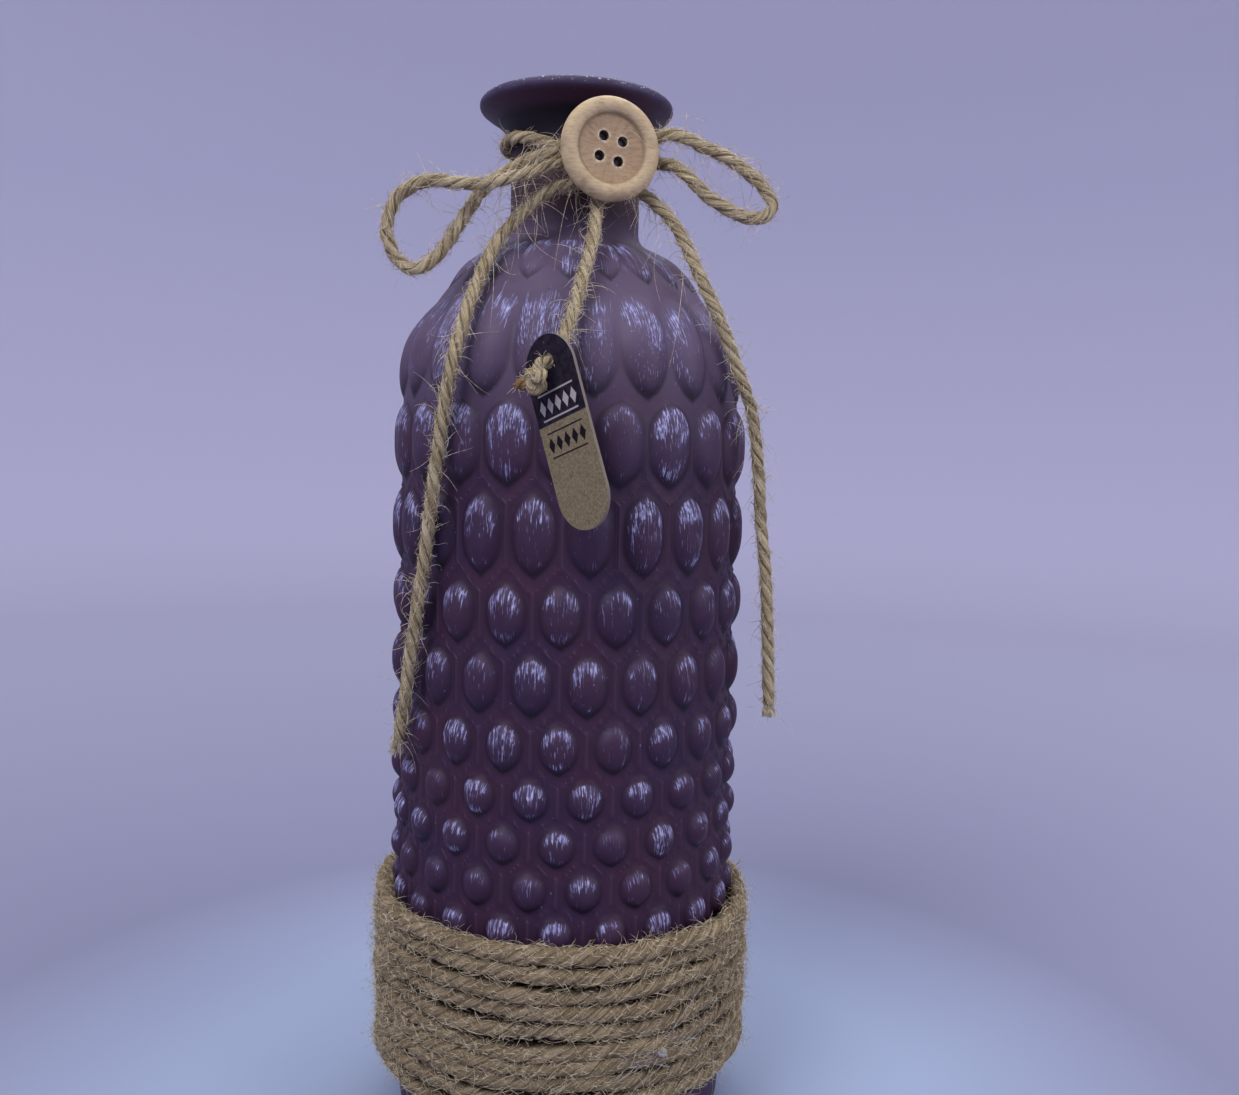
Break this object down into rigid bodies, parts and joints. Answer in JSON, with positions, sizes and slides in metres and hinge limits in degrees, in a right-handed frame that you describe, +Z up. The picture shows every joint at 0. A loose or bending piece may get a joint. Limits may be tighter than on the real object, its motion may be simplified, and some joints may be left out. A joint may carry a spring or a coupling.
{
  "type": "glass bottle",
  "caption": "Tall hobnail glass bottle with a flared lip, painted matte, wrapped in jute at its foot and dressed at its neck with a twine bow, a wooden button and a swing tag.",
  "frame": {"origin": "middle of the base, on the surface the bottle stands on", "axes": "+Z up along the bottle's axis, -Y the front with the bow and the tag, +X to the right of the front"},
  "size_m": [0.1071, 0.1173, 0.276],
  "materials": {
    "painted_glass": "matte paint, dry brushed",
    "jute_rope": "fuzzy",
    "jute_twine": "fuzzy",
    "hot_glue": "satin",
    "button_wood": "satin",
    "tag_card": "matte"
  },
  "bodies": {
    "dressed_bottle": {"bottle": "painted_glass", "base_rope": "jute_rope", "rope_glue_bead": "hot_glue", "neck_loop": "jute_twine", "bow_knot": "jute_twine", "left_loop": "jute_twine", "right_loop": "jute_twine", "left_tail": "jute_twine", "right_tail": "jute_twine", "button_glue": "hot_glue", "button": "button_wood"},
    "tag_string": {"tag_string": "jute_twine", "tag_knot": "jute_twine"},
    "tag": {"tag": "tag_card"}
  },
  "joints": [
    {"name": "string_swing", "type": "hinge", "parent": "dressed_bottle", "child": "tag_string", "pos_m": [0.006, -0.0215, 0.2523], "axis": [0, 1, 0], "range_deg": [-10, 10]},
    {"name": "tag_swing", "type": "hinge", "parent": "tag_string", "child": "tag", "pos_m": [-0.0052, -0.054, 0.2039], "axis": [-0.7296, -0.6803, -0.0698], "range_deg": [-8, 30]}
  ]
}
